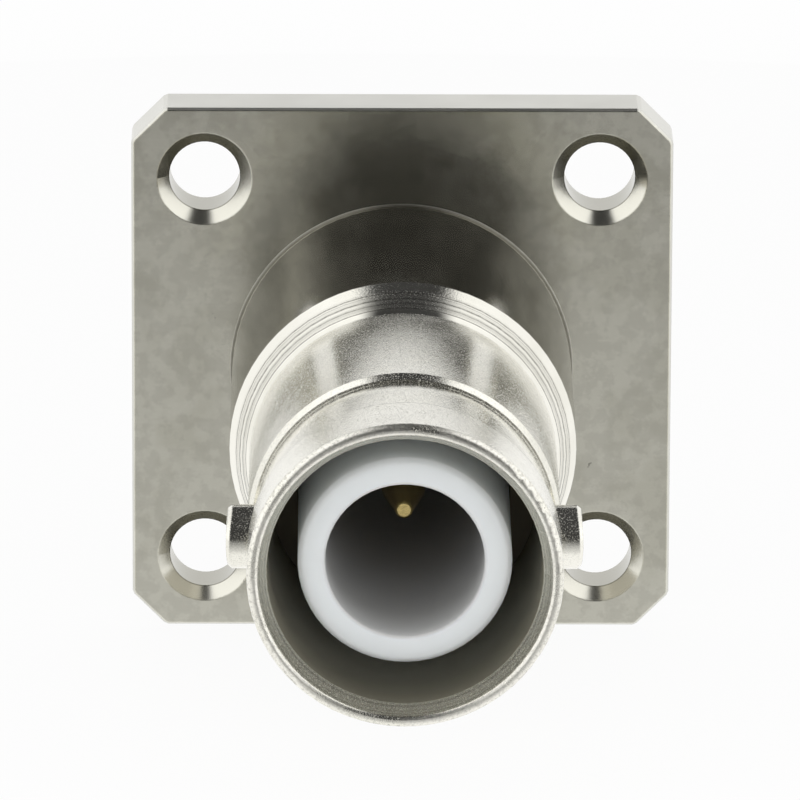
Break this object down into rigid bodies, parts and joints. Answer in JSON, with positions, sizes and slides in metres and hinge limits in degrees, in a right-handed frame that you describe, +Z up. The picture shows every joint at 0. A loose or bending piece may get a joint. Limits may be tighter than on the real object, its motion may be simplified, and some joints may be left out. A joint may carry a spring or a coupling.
{
  "type": "shv panel jack",
  "caption": "Square-flange panel jack for a high-voltage coaxial bayonet plug, with a turned studded shell, a recessed gold pin in a white insulating tube and a rear solder cup.",
  "frame": {"origin": "centre of the four screw holes, on the flange's rear face, which lies against the panel", "axes": "+Y along the connector's axis, away from its mouth and through the panel, so the mouth faces -Y; +Z up, with the solder cup's open side; the bayonet studs stand out along X"},
  "size_m": [0.0174, 0.0344, 0.0174],
  "materials": {
    "nickel_plate": "satin",
    "ptfe": "satin",
    "gold_plate": "gloss"
  },
  "bodies": {
    "root": {"shell": "nickel_plate", "front_insulator": "ptfe", "rear_insulator": "ptfe", "retaining_bush": "nickel_plate", "centre_contact": "gold_plate"}
  },
  "joints": []
}
